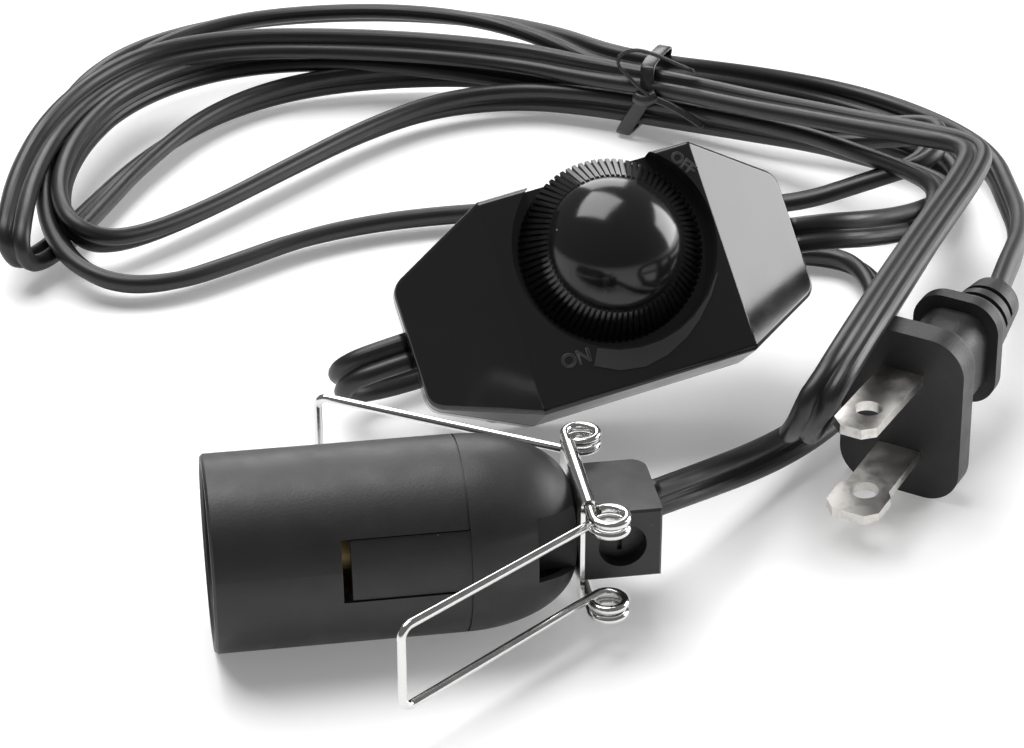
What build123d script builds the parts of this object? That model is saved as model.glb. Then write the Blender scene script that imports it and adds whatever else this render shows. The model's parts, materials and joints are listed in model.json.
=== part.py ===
from build123d import *
import math
import os

# Inline cord dimmer on its flat twin cord, with a candelabra lampholder in a sprung wire clip and
# a two-blade plug. Millimetres, +Z up, table at Z = 0. The dimmer leans back on its cord, with its
# long side along X, and the origin is on the table below the middle of the dimmer.

# Dimmer housing, an eight-sided box in two shells that part at its own Z = 0
BODY_LENGTH = 60.0
BODY_WIDTH = 32.0
END_WIDTH = 18.6
FLAT_LENGTH = 32.0
CROWN_HEIGHT = 12.8
END_HEIGHT = 1.8
BASE_DEPTH = 8.0
BASE_TAPER = 6.0
WALL = 1.8
LIP_HEIGHT = 0.8
LIP_THICKNESS = 0.8
LIP_GAP = 0.15
CORNER_RADIUS = 3.0
EDGE_RADIUS = 0.9
SEAM_CHAMFER = 0.3
LEAN_BACK = 50.6
LEAN_SIDE = -15.2

# Knob, its recess and the shaft that it is pressed on
KNOB_SHIFT = 1.0
KNOB_OFFSET = 4.3
KNOB_RADIUS = 13.3
KNOB_CREST_RADIUS = 9.8
KNOB_RIM_HEIGHT = 0.9
KNOB_CONE_HEIGHT = 4.2
KNOB_DOME_HEIGHT = 6.2
KNOB_WALL = 1.6
KNOB_TEETH = 82
TOOTH_DEPTH = 0.5
RECESS_RADIUS = 14.9
RECESS_DEPTH = 4.2
RECESS_WALL = 1.4
KNOB_GAP = 0.5
SHAFT_RADIUS = 3.0
SHAFT_FLAT = 0.8
RUNNING_GAP = 0.05
HUB_RADIUS = 4.6

# Board, control and small parts inside the dimmer
BOARD_THICKNESS = 1.6
BOARD_LEVEL = -4.4
BOARD_LENGTH = 46.0
BOARD_WIDTH = 24.6
BOARD_MARGIN = 1.4
BOARD_NOTCH = 5.0
POT_RADIUS = 8.2
POT_BUSH_RADIUS = 4.4
SWITCH_HEIGHT = 3.4
TRAY_DEPTH = 8.8
POST_X = 12.5
POST_Y = 9.5
POST_RADIUS = 1.6
CAPACITOR = (4.5, 11.0, 5.6)
CAPACITOR_X = 12.2
TRIAC = (8.4, 8.6, 3.2)
TRIAC_X = -12.9
SINK_THICKNESS = 0.9
SINK_RISE = 1.4
CHOKE_RADIUS = 3.4
CHOKE_CORE_RADIUS = 1.9
CHOKE_HEIGHT = 5.4
CHOKE_FLANGE = 0.8
CHOKE_PLACE = (-6.5, -8.6)
RESISTOR_RADIUS = 1.0
RESISTOR_LENGTH = 5.2
RESISTOR_CAP = 1.2
RESISTOR_PLACES = [(2.4, -7.6), (2.4, -10.2)]
DIAC_PLACE = (8.6, -9.4)
DIAC_RADIUS = 0.9
DIAC_LENGTH = 3.8
SCREW_X = 19.4
SCREW_Y = 10.2
SCREW_RADIUS = 1.1
SCREW_HEAD_RADIUS = 1.9
SCREW_HEAD_HEIGHT = 1.3
SCREW_LENGTH = 8.6
BOSS_WALL = 1.4
HEAD_DEPTH = 1.6
PILOT_SPARE = 0.3
HEAD_CLEARANCE = 0.2
SCREW_CLEARANCE = 0.15

# Flat twin cord
CORD_WIDTH = 5.6
CORD_THICKNESS = 2.8
CORD_TUBE_RADIUS = 2.1
CORD_EXIT_LEVEL = -1.3
CORD_GAP = 0.1
CORD_ROUNDING = 0.95
CORD_GROOVE = (0.6, 0.35)
CORD_INSIDE = 7.0
CLAMP_LENGTH = 3.0
CLAMP_HEIGHT = 1.0
LEAD_RADIUS = 0.7
LEAD_REACH = 3.6
LEAD_BEND = 0.8

# Lampholder: a sleeve, a domed rear shell and a cord grip, on one axis
HOLDER_CENTRE = (-31.4, -42.7)
HOLDER_HEADING = 160.0
SLEEVE_RADIUS = 13.05
SLEEVE_WALL = 1.5
SLEEVE_LENGTH = 33.1
DOME_LENGTH = 14.8
DOME_END_RADIUS = 5.0
SHELL_TURN = 15.0
TONGUE_LENGTH = 15.4
TONGUE_WIDTH = 8.0
TONGUE_GAP = 0.2
TONGUE_STEP = 0.25
TONGUE_END_GAP = 1.2
SEAM_LINE = 0.25
MOUTH_CHAMFER = 0.35
INNER_LIP = (0.9, 1.6)
COLLAR_LENGTH = 5.0
POCKET_LENGTH = 6.0
POCKET_HEIGHT = 8.6
POCKET_FLOOR = 5.4
NECK_RADIUS = 4.4
NECK_BORE_RADIUS = 2.9
NECK_LENGTH = 7.5
GRIP_LENGTH = 10.5
GRIP_WIDTH = 13.0
GRIP_HEIGHT = 10.2
GRIP_SCREW_RADIUS = 2.0
GRIP_HOLE_RADIUS = 3.2
GRIP_HOLE_DEPTH = 2.2
GRIP_CORD_SHIFT = -3.2
GRIP_CORD_LIFT = 0.4
GRIP_CORD_LENGTH = 7.3
GRIP_END_WALL = 0.7
GRIP_LEAD_X = -0.8
GRIP_LEAD_Y = 1.2
LAMP_BORE_RADIUS = 5.9
SCREW_SHELL_WALL = 0.4
SCREW_SHELL_LENGTH = 15.0
SCREW_SHELL_HOLE = 3.4
SCREW_SHELL_START = 23.5
BASE_THICKNESS = 5.0
CONTACT_WIDTH = 3.6
CONTACT_THICKNESS = 0.3
CONTACT_REACH = 2.6
TERMINAL_REACH = 7.2
TERMINAL_RADIUS = 1.05
TERMINAL_HEAD_RADIUS = 1.9
TERMINAL_HEAD_HEIGHT = 1.2

# Sprung wire clip on the lampholder
WIRE_RADIUS = 0.6
PLATE_THICKNESS = 0.6
PLATE_WIDTH = 15.6
PLATE_GAP = 0.05
ROLL_SPACING = 14.4
ROLL_RADIUS = 1.05
ROLL_BORE = 0.7
COIL_RADIUS = 2.2
COIL_REACH = 10.6
COIL_PITCH = 1.5
COIL_SWEEP = 300.0
NEAR_LENGTH = 35.0
FAR_LENGTH = 38.0
WING_FLARE = 0.3
WING_CORNER = 1.6
NEAR_SPLAY = 36.7
FAR_SPLAY = 31.0

# Plug
PLUG_CENTRE = (23.3, -40.2)
PLUG_HEADING = -149.0
PLUG_PITCH = 3.5
PLUG_HEIGHT = 26.2
PLUG_WIDTH = 18.2
PLUG_CORNER = 5.2
FLANGE_THICKNESS = 4.6
WAIST_INSET = (4.0, 6.6)
WAIST_LENGTH = 14.5
COLLAR_INSET = (2.5, 4.7)
COLLAR_THICKNESS = 3.0
COLLAR_CORNER = 4.6
WAIST_CORNER = 3.6
RELIEF_LENGTH = 12.2
RELIEF_RADIUS = 5.4
RELIEF_END_RADIUS = 3.9
RELIEF_PLAIN = 2.6
RELIEF_SLOTS = 3
RELIEF_PITCH = 3.0
RELIEF_SLOT_WIDTH = 1.1
RELIEF_CORE = 3.0
RELIEF_SPINE = 1.6
BLADE_SPACING = 12.7
BLADE_WIDTH = 6.35
BLADE_WIDE = 7.9
BLADE_THICKNESS = 1.5
BLADE_LENGTH = 17.4
BLADE_FLARE = 5.6
BLADE_ROOT = 4.0
UPPER_BEND = 2.5
LOWER_BEND = -1.5
BLADE_HOLE_RADIUS = 1.95
BLADE_HOLE_REACH = 11.7
BLADE_CHAMFER = 1.6

# Hank of the supply cord: a teardrop of left turns, a neck in the tie and a fold at the right
HANK_HEIGHT = 14.0
CREST_HEIGHT = 20.0
CREST_CENTRE = (80, 27)
CREST_RADIUS = 11.0
TURNS_OUTLINE = [(59, 90), (55, 106), (42, 125), (18, 142), (-4, 147), (-22, 143), (-42, 128), (-56, 107),
                 (-65, 88), (-66, 75), (-56, 71), (-42, 74.5), (-24, 79.5), (-4, 88.5), (16, 96), (30, 97),
                 (41, 92), (51, 82)]
TURNS_HOLE = [(-42, 87), (-28, 88.5), (-8, 97), (12, 103.5), (27, 105.5), (21, 111), (5, 116), (-12, 112.5),
              (-30, 99)]
FOLD_OUTLINE = [(50, 81), (56, 66), (65, 47), (70, 31), (77, 16), (86, 18), (97, 30), (102, 44), (98, 62),
                (86, 75), (72, 83), (60, 90)]

# Twist tie round the hank's neck
TIE_CENTRE = (54.0, 86.0)
TIE_HEADING = -55.0
TIE_INNER = (13.0, 11.4)
TIE_FLOOR = 0.1
TIE_THICKNESS = 0.9
TIE_WIDTH = 2.6
TIE_CORNER = 2.4
TIE_KNOT_RADIUS = 1.3
TIE_KNOT_LENGTH = 4.0
TIE_WIRE_RADIUS = 0.6

# Free stretches of cord, from where they leave a piece to where they reach the next
ARC_SHARE = 0.45
LAMP_ROUTE = [(-34.3, 19.0, 5.1), (-22, 19.5, 3), (-4, 22.5, 2.4), (19, 28, 2.3), (41, 29, 2.4), (57, 18, 2.6),
              (53, 0, 2.8), (38, -14, 2.8), (19, -28, 3.2), (5, -36, 5.2), (-4, -41.2, 9.2),
              (-11.5, -44.2, 12.4)]
LAMP_START = 8.5
LAMP_END = 4.0
TAIL_ROUTE = [(43, -3, 23), (51, 2.5, 18), (61, 9.5, 11), (71, 16, 6.5), (81, 22.5, 4.6)]
TAIL_START = 7.0
NEAR_ROUTE = [(-57.5, 76, 5), (-55.5, 68, 4), (-48.5, 62.3, 2.8), (-38, 62.6, 2.4), (-25, 67, 2.4),
              (-9, 70, 2.4), (8, 65.5, 2.4), (25, 57, 2.4), (41, 48.5, 2.5), (56, 40, 3), (67, 36.8, 4.2),
              (76, 36.2, 5.5)]
CROSSING_ROUTE = [(84, 20.5, 18.6), (68, 6, 21), (50, -9, 24.6), (33, -23, 28.6), (19.5, -34, 29.6),
                  (9, -39.2, 22), (8.5, -37.5, 10.4), (17, -29.2, 10), (32, -17.6, 11.5), (50, -6.8, 13.6),
                  (66, 5, 14.5), (78, 18, 13.5)]
PLUG_ROUTE = [(71, -7, 12), (82, 8, 8), (90, 19, 5.4), (95, 31, 4.4)]
PLUG_START = 9.0

half_length = BODY_LENGTH / 2
half_width = BODY_WIDTH / 2
half_end = END_WIDTH / 2
half_flat = FLAT_LENGTH / 2
recess_floor = CROWN_HEIGHT - RECESS_DEPTH
cup_underside = recess_floor - RECESS_WALL
knob_base = recess_floor + KNOB_GAP
cone_base = knob_base + KNOB_RIM_HEIGHT
cone_top = cone_base + KNOB_CONE_HEIGHT
knob_top = cone_top + KNOB_DOME_HEIGHT
board_top = BOARD_LEVEL + BOARD_THICKNESS
floor_level = -BASE_DEPTH + WALL
screw_places = [(x, y) for x in (-SCREW_X, SCREW_X) for y in (-SCREW_Y, SCREW_Y)]
boss_radius = SCREW_RADIUS + SCREW_CLEARANCE + BOSS_WALL
head_seat = -BASE_DEPTH + SCREW_HEAD_HEIGHT + HEAD_DEPTH
screw_tip = head_seat + SCREW_LENGTH - SCREW_HEAD_HEIGHT
board_posts = [(x, y) for x in (-POST_X, POST_X) for y in (-POST_Y, POST_Y)]


def ring(outer, inner, length, start=0.0):
    """A round tube on Z, from start upwards."""
    return Pos(0, 0, start) * extrude(Circle(outer) - Circle(inner), length)


def rod(radius, length, start=0.0):
    """A round bar on Z, from start upwards."""
    return Pos(0, 0, start) * extrude(Circle(radius), length)


def block(x_size, y_size, z_size, start=0.0):
    """A rectangular block centred on Z, from start upwards."""
    return Pos(0, 0, start) * extrude(Rectangle(x_size, y_size), z_size)


def octagon(inset=0.0):
    """The housing's plan, drawn in by inset."""
    corners = [(half_flat, half_width), (half_length, half_end), (half_length, -half_end),
               (half_flat, -half_width), (-half_flat, -half_width), (-half_length, -half_end),
               (-half_length, half_end), (-half_flat, half_width)]
    plan = make_face(Polyline(*corners, close=True))
    return offset(plan, -inset, kind=Kind.INTERSECTION) if inset else plan


def roof(inset=0.0):
    """The housing's side view below its crown and its two sloping ends, as a block."""
    skirt = -3 * BASE_DEPTH
    corners = [(-half_length, skirt), (-half_length, END_HEIGHT), (-half_flat, CROWN_HEIGHT),
               (half_flat, CROWN_HEIGHT), (half_length, END_HEIGHT), (half_length, skirt)]
    side = make_face(Polyline(*corners, close=True))
    if inset:
        side = offset(side, -inset, kind=Kind.INTERSECTION)
    return extrude(Plane.XZ * side, BODY_WIDTH, both=True)


def housing_top(inset=0.0):
    """The upper half of the housing as one solid, drawn in by inset."""
    return extrude(octagon(inset), CROWN_HEIGHT) & roof(inset)


def housing_bottom(inset=0.0):
    """The lower half of the housing as one solid, with its sides tapering in to the base."""
    return extrude(octagon(inset), -(BASE_DEPTH - inset), taper=BASE_TAPER)


def cord_section(clearance=0.0):
    """The flat cord's rounded section with its broad side along X, grown by clearance."""
    bar = Rectangle(CORD_WIDTH + 2 * clearance, CORD_THICKNESS + 2 * clearance)
    return fillet(bar.vertices(), CORD_ROUNDING * CORD_THICKNESS / 2)


def cord_slot(clearance):
    """The space of the flat cord through both ends of the housing."""
    return Pos(0, 0, CORD_EXIT_LEVEL) * extrude(Plane.YZ * cord_section(clearance), BODY_LENGTH, both=True)


def lip(gap):
    """The ridge on the lower shell that locates the upper one, with gap added round it."""
    outer = octagon(WALL - LIP_THICKNESS - gap)
    inner = octagon(WALL + gap)
    return extrude(outer - inner, LIP_HEIGHT + gap)


def upright(edge):
    """True for an edge that runs straight up."""
    size = edge.bounding_box().size
    return size.X < 0.01 and size.Y < 0.01


def make_upper_shell():
    outer = housing_top()
    end_corners = [e for e in outer.edges() if upright(e) and abs(e.center().X) > half_flat + 1]
    outer = fillet(end_corners, CORNER_RADIUS)
    crest = [e for e in outer.edges() if e.bounding_box().min.Z > END_HEIGHT - 0.05 and not upright(e)]
    outer = fillet(crest, EDGE_RADIUS)
    outer = chamfer(outer.edges().group_by(Axis.Z)[0], SEAM_CHAMFER)
    shell = outer - housing_top(WALL)
    cup = rod(RECESS_RADIUS + RECESS_WALL, CROWN_HEIGHT - cup_underside, cup_underside)
    shell += Pos(KNOB_SHIFT, KNOB_OFFSET, 0) * cup & outer
    for x, y in screw_places:
        shell += Pos(x, y, 0) * rod(boss_radius, CROWN_HEIGHT) & outer
    shell -= Pos(KNOB_SHIFT, KNOB_OFFSET, 0) * rod(RECESS_RADIUS, CROWN_HEIGHT, recess_floor)
    shell -= Pos(KNOB_SHIFT, KNOB_OFFSET, 0) * rod(POT_BUSH_RADIUS + CORD_GAP, CROWN_HEIGHT)
    for x, y in screw_places:
        shell -= Pos(x, y, -1) * rod(SCREW_RADIUS, screw_tip + 1 + PILOT_SPARE)
    shell -= lip(LIP_GAP)
    return shell - cord_slot(CORD_GAP)


def make_lower_shell():
    outer = housing_bottom()
    end_corners = [e for e in outer.edges() if e.bounding_box().size.Z > 1 and abs(e.center().X) > half_flat + 1]
    outer = fillet(end_corners, CORNER_RADIUS)
    outer = fillet(outer.edges().group_by(Axis.Z)[0], EDGE_RADIUS)
    outer = chamfer(outer.edges().group_by(Axis.Z)[-1], SEAM_CHAMFER)
    shell = outer - housing_bottom(WALL) + lip(0)
    for x, y in screw_places:
        shell += Pos(x, y, 0) * rod(boss_radius + 0.6, -floor_level, floor_level)
        shell -= Pos(x, y, 0) * rod(SCREW_RADIUS + SCREW_CLEARANCE, BASE_DEPTH + 1, -BASE_DEPTH)
        shell -= Pos(x, y, 0) * rod(SCREW_HEAD_RADIUS + HEAD_CLEARANCE, head_seat + BASE_DEPTH, -BASE_DEPTH)
    for x, y in board_posts:
        shell += Pos(x, y, 0) * rod(POST_RADIUS, BOARD_LEVEL - floor_level, floor_level)
    for side in (-1, 1):
        cradle_top = CORD_EXIT_LEVEL - CORD_THICKNESS / 2
        x = side * (half_length - WALL - CLAMP_LENGTH / 2 - 1.0)
        shell += Pos(x, 0, 0) * block(CLAMP_LENGTH, CORD_WIDTH + 3, cradle_top - floor_level, floor_level)
    return shell - cord_slot(CORD_GAP)


def make_knob():
    step = 2 * math.pi / KNOB_TEETH

    def star(radius, level):
        corners = []
        for i in range(KNOB_TEETH):
            for k, r in ((-0.28, radius), (0.28, radius), (0.5, radius - TOOTH_DEPTH)):
                a = (i + k) * step
                corners.append((r * math.cos(a), r * math.sin(a)))
        return Pos(0, 0, level) * make_face(Polyline(*corners, close=True))

    cone = loft([star(KNOB_RADIUS, cone_base), star(KNOB_CREST_RADIUS + TOOTH_DEPTH / 2, cone_top)],
                ruled=True)
    dome_radius = (KNOB_CREST_RADIUS ** 2 + KNOB_DOME_HEIGHT ** 2) / (2 * KNOB_DOME_HEIGHT)
    half_turn = math.atan2(KNOB_DOME_HEIGHT, KNOB_CREST_RADIUS)
    middle = (dome_radius * math.sin(half_turn), knob_top - dome_radius * (1 - math.cos(half_turn)))
    arc = ThreePointArc((0, knob_top), middle, (KNOB_CREST_RADIUS, cone_top))
    side = Polyline((KNOB_CREST_RADIUS, cone_top), (KNOB_RADIUS - TOOTH_DEPTH, cone_base),
                    (KNOB_RADIUS - TOOTH_DEPTH, knob_base), (0, knob_base), (0, knob_top))
    body = revolve(Plane.XZ * make_face([*arc.edges(), *side.edges()]), Axis.Z)
    knob = body + cone
    hollow_top = cone_top - 0.6
    inner = Polyline((HUB_RADIUS, knob_base), (KNOB_RADIUS - TOOTH_DEPTH - KNOB_WALL, knob_base),
                     (KNOB_RADIUS - TOOTH_DEPTH - KNOB_WALL, cone_base),
                     (KNOB_CREST_RADIUS - KNOB_WALL, hollow_top), (HUB_RADIUS, hollow_top), close=True)
    knob -= revolve(Plane.XZ * make_face(inner), Axis.Z)
    knob -= shaft_form(0, hollow_top)
    return Pos(KNOB_SHIFT, KNOB_OFFSET, 0) * knob


def shaft_form(start, end):
    """The control's shaft, with the flat that turns the knob on its upper part."""
    shaft = rod(SHAFT_RADIUS, end - start, start)
    flat_start = knob_base - 0.2
    flat = Pos(SHAFT_RADIUS, 0, 0) * block(2 * SHAFT_FLAT, 2 * SHAFT_RADIUS, end - flat_start + 1, flat_start)
    return shaft - flat


def make_pot_shaft():
    return Pos(KNOB_SHIFT, KNOB_OFFSET, 0) * shaft_form(board_top + SWITCH_HEIGHT + 1, cone_top - 1.2)


def make_pot_body():
    """The rotary control: a round switch can under a resistance wafer, with a bush for the shaft."""
    can = rod(POT_RADIUS, cup_underside - board_top - 1.0, board_top)
    tray = block(2 * POT_RADIUS, TRAY_DEPTH, SWITCH_HEIGHT, board_top)
    bush = rod(POT_BUSH_RADIUS, knob_base - 0.2 - cup_underside + 1.0, cup_underside - 1.0)
    body = can + Pos(0, -TRAY_DEPTH / 2, 0) * tray + bush
    body -= rod(SHAFT_RADIUS + RUNNING_GAP, CROWN_HEIGHT, board_top + SWITCH_HEIGHT)
    return Pos(KNOB_SHIFT, KNOB_OFFSET, 0) * body


def make_circuit_board():
    board = block(BOARD_LENGTH, BOARD_WIDTH, BOARD_THICKNESS, BOARD_LEVEL)
    board &= extrude(octagon(WALL + BOARD_MARGIN), -BASE_DEPTH)
    for x, y in screw_places:
        board -= Pos(x, y, 0) * rod(boss_radius + 1.0, 4 * BOARD_THICKNESS, BOARD_LEVEL - BOARD_THICKNESS)
    for side in (-1, 1):
        board -= Pos(side * BOARD_LENGTH / 2, 0, 0) * block(BOARD_NOTCH, CORD_WIDTH + 2, 4 * BOARD_THICKNESS,
                                                            BOARD_LEVEL - BOARD_THICKNESS)
    return board


def make_capacitor():
    x_size, y_size, height = CAPACITOR
    can = fillet(block(x_size, y_size, height, board_top).edges().filter_by(Axis.Z), 0.8)
    return Pos(CAPACITOR_X, 0, 0) * can


def make_triac():
    """A plastic power package lying flat, with its metal tab under the screw hole."""
    x_size, y_size, height = TRIAC
    body = Pos(TRIAC_X, 0, 0) * block(x_size, y_size, height, board_top + SINK_THICKNESS)
    return chamfer(body.edges().group_by(Axis.Z)[-1], 0.4)


def make_heat_sink():
    """A thin plate under the power package, with one end turned up."""
    x_size, y_size, height = TRIAC
    plate = block(x_size, y_size + 1, SINK_THICKNESS, board_top)
    flag = block(SINK_THICKNESS, y_size + 1, height + SINK_RISE, board_top)
    return Pos(TRIAC_X, 0, 0) * (plate + Pos(-(x_size + SINK_THICKNESS) / 2, 0, 0) * flag)


def make_choke():
    """A drum core wound with wire between its two flanges."""
    drum = rod(CHOKE_CORE_RADIUS, CHOKE_HEIGHT, board_top)
    for level in (board_top, board_top + CHOKE_HEIGHT - CHOKE_FLANGE):
        drum += rod(CHOKE_RADIUS, CHOKE_FLANGE, level)
    return Pos(*CHOKE_PLACE, 0) * drum


def make_choke_winding():
    height = CHOKE_HEIGHT - 2 * CHOKE_FLANGE
    coil = ring(CHOKE_RADIUS - 0.4, CHOKE_CORE_RADIUS, height, board_top + CHOKE_FLANGE)
    return Pos(*CHOKE_PLACE, 0) * coil


def make_resistors():
    """Two resistors lying side by side on the board."""
    end = RESISTOR_LENGTH / 2
    body = rod(0.8 * RESISTOR_RADIUS, RESISTOR_LENGTH, -end)
    for start in (-end, end - RESISTOR_CAP):
        body += rod(RESISTOR_RADIUS, RESISTOR_CAP, start)
    lying = Pos(0, 0, board_top + RESISTOR_RADIUS) * Rot(Y=90) * body
    return Compound(children=[Pos(x, y, 0) * lying for x, y in RESISTOR_PLACES])


def make_diac():
    body = Rot(X=90) * rod(DIAC_RADIUS, DIAC_LENGTH, -DIAC_LENGTH / 2)
    return Pos(*DIAC_PLACE, board_top + DIAC_RADIUS) * body


def make_case_screws():
    """Four self-tapping screws, head down, from the base into the upper shell."""
    screws = []
    for x, y in screw_places:
        head_bottom = head_seat - SCREW_HEAD_HEIGHT
        screw = rod(SCREW_HEAD_RADIUS, SCREW_HEAD_HEIGHT, head_bottom)
        screw += rod(SCREW_RADIUS, SCREW_LENGTH - SCREW_HEAD_HEIGHT, head_seat)
        for a in (0, 90):
            screw -= Rot(Z=a) * block(2.4, 0.5, 1.4, head_bottom - 0.7)
        screws.append(Pos(x, y, 0) * screw)
    return Compound(children=screws)


def make_cord_end(side):
    """The end of a flat cord inside the housing, as far as its clamp's inner edge."""
    groove_width, groove_depth = CORD_GROOVE
    groove = Rectangle(groove_width, 2 * groove_depth)
    bar = cord_section() - Pos(0, CORD_THICKNESS / 2) * groove - Pos(0, -CORD_THICKNESS / 2) * groove
    solid = extrude(Plane.YZ * bar, CORD_INSIDE)
    start = half_length - CORD_INSIDE if side > 0 else -half_length
    return Pos(start, 0, CORD_EXIT_LEVEL) * solid


def make_cord_clamps():
    """A bar across each cord end, held down on its cradle by the upper shell."""
    bars = []
    for side in (-1, 1):
        x = side * (half_length - WALL - CLAMP_LENGTH / 2 - 1.0)
        bars.append(Pos(x, 0, 0) * block(CLAMP_LENGTH, CORD_WIDTH + 3, CLAMP_HEIGHT,
                                         CORD_EXIT_LEVEL + CORD_THICKNESS / 2))
    return Compound(children=bars)


def make_leads():
    """Four insulated conductors from the cord ends down to the board."""
    leads = []
    for side in (-1, 1):
        for y in (-CORD_WIDTH / 4, CORD_WIDTH / 4):
            start = Vector(side * (half_length - CORD_INSIDE), y, CORD_EXIT_LEVEL)
            bend = Vector(side * (half_length - CORD_INSIDE - LEAD_REACH), y, CORD_EXIT_LEVEL)
            end = Vector(side * (half_length - CORD_INSIDE - LEAD_REACH), y, board_top)
            path = FilletPolyline(start, bend, end, radius=LEAD_BEND)
            leads.append(sweep(Plane(origin=start, z_dir=(-side, 0, 0)) * Circle(LEAD_RADIUS), path=path))
    return Compound(children=leads)


seam = DOME_LENGTH + PLATE_THICKNESS / 2
mouth = seam + SLEEVE_LENGTH
sleeve_bore = SLEEVE_RADIUS - SLEEVE_WALL
base_top = SCREW_SHELL_START
base_bottom = base_top - BASE_THICKNESS
collar_inner = sleeve_bore - 1.3
collar_end = seam + COLLAR_LENGTH
roll_level = PLATE_THICKNESS / 2 - ROLL_RADIUS


def make_sleeve():
    """The lampholder's front sleeve, with a slot on each side for the rear shell's tongues."""
    sleeve = ring(SLEEVE_RADIUS, sleeve_bore, SLEEVE_LENGTH, seam)
    lip_width, lip_height = INNER_LIP
    sleeve += ring(sleeve_bore, sleeve_bore - lip_width, lip_height, base_top)
    sleeve = chamfer(sleeve.edges().group_by(Axis.Z)[-1], MOUTH_CHAMFER)
    sleeve -= ring(SLEEVE_RADIUS + 1, SLEEVE_RADIUS - SEAM_LINE, SEAM_LINE, seam)
    slot_length = TONGUE_LENGTH + TONGUE_END_GAP
    slot = block(4 * SLEEVE_RADIUS, TONGUE_WIDTH + 2 * TONGUE_GAP, slot_length, seam)
    reach = ring(SLEEVE_RADIUS + 1, sleeve_bore - 0.3, slot_length, seam)
    return Rot(Z=SHELL_TURN) * (sleeve - (slot & reach))


def dome_solid(inset, floor):
    """The space inside the rear shell's outline, drawn in by inset, above its end floor."""
    start = PLATE_THICKNESS / 2
    top = start + DOME_LENGTH
    reach = SLEEVE_RADIUS - DOME_END_RADIUS - inset
    curve = EllipticalCenterArc((DOME_END_RADIUS, top), reach, DOME_LENGTH - inset, 270, arc_size=90)
    side = Polyline(curve @ 1, (0, top), (0, start + inset), curve @ 0)
    solid = revolve(Plane.XZ * make_face([*curve.edges(), *side.edges()]), Axis.Z)
    return solid - block(4 * SLEEVE_RADIUS, 4 * SLEEVE_RADIUS, floor, start) if floor else solid


def make_rear_shell():
    """The domed shell behind the sleeve, with two tongues that fill the sleeve's slots."""
    shell = dome_solid(0, 0) - dome_solid(SLEEVE_WALL, SLEEVE_WALL)
    collar = ring(sleeve_bore - TONGUE_GAP / 2, collar_inner, COLLAR_LENGTH + 1.5, seam - 1.5)
    tongue = ring(SLEEVE_RADIUS - TONGUE_STEP, sleeve_bore + 0.05, TONGUE_LENGTH, seam)
    tongue += ring(sleeve_bore + 0.1, collar_inner, COLLAR_LENGTH, seam)
    tongue &= block(4 * SLEEVE_RADIUS, TONGUE_WIDTH, TONGUE_LENGTH, seam)
    shell += collar + tongue
    pocket = block(2 * SLEEVE_RADIUS, POCKET_HEIGHT, POCKET_LENGTH, PLATE_THICKNESS / 2)
    keep = block(2 * POCKET_FLOOR, POCKET_HEIGHT, POCKET_LENGTH, PLATE_THICKNESS / 2)
    shell += keep & dome_solid(0, 0)
    shell -= pocket - keep
    shell -= rod(NECK_RADIUS + PLATE_GAP, NECK_LENGTH + 4, 0)
    return Rot(Z=SHELL_TURN) * shell


def make_cord_grip():
    """The block behind the clip plate, with a hollow neck through the plate into the rear shell."""
    low = -PLATE_THICKNESS / 2 - GRIP_LENGTH
    grip = block(GRIP_WIDTH, GRIP_HEIGHT, GRIP_LENGTH, low)
    far_edges = [e for e in grip.edges().filter_by(Axis.Y) if e.center().X < 0]
    grip = fillet(far_edges, 2.2)
    grip = chamfer(grip.faces().sort_by(Axis.X)[-1].edges(), 0.3)
    grip += rod(NECK_RADIUS, NECK_LENGTH, -PLATE_THICKNESS / 2)
    grip -= rod(NECK_BORE_RADIUS, NECK_LENGTH + 3, -3)
    slot = Rot(Z=90) * cord_section(CORD_GAP)
    grip -= Pos(GRIP_CORD_SHIFT, GRIP_CORD_LIFT, low) * extrude(slot, GRIP_CORD_LENGTH)
    chamber_start = low + GRIP_CORD_LENGTH
    chamber = block(-2 * GRIP_CORD_SHIFT, CORD_WIDTH, -PLATE_THICKNESS / 2 - GRIP_END_WALL - chamber_start,
                    chamber_start)
    grip -= Pos(GRIP_CORD_SHIFT / 2, GRIP_CORD_LIFT, 0) * chamber
    hole = Rot(Y=90) * (rod(GRIP_HOLE_RADIUS, GRIP_WIDTH, GRIP_WIDTH / 2 - GRIP_HOLE_DEPTH)
                        + rod(GRIP_SCREW_RADIUS, GRIP_WIDTH, GRIP_CORD_SHIFT))
    return grip - Pos(0, 0, low + GRIP_LENGTH / 2) * hole


def make_grip_screw():
    """The slotted set screw that pinches the cord in its block."""
    start = GRIP_CORD_SHIFT + CORD_THICKNESS / 2
    end = GRIP_WIDTH / 2 - GRIP_HOLE_DEPTH
    screw = rod(GRIP_SCREW_RADIUS, end - start, start)
    screw -= block(0.6, 4 * GRIP_SCREW_RADIUS, 0.8, end - 0.7)
    return Pos(0, 0, -PLATE_THICKNESS / 2 - GRIP_LENGTH / 2) * (Rot(Y=90) * screw)


def make_grip_cord():
    """The end of the flat cord inside its grip."""
    bar = extrude(Rot(Z=90) * cord_section(), GRIP_CORD_LENGTH)
    return Pos(GRIP_CORD_SHIFT, GRIP_CORD_LIFT, -PLATE_THICKNESS / 2 - GRIP_LENGTH) * bar


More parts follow.
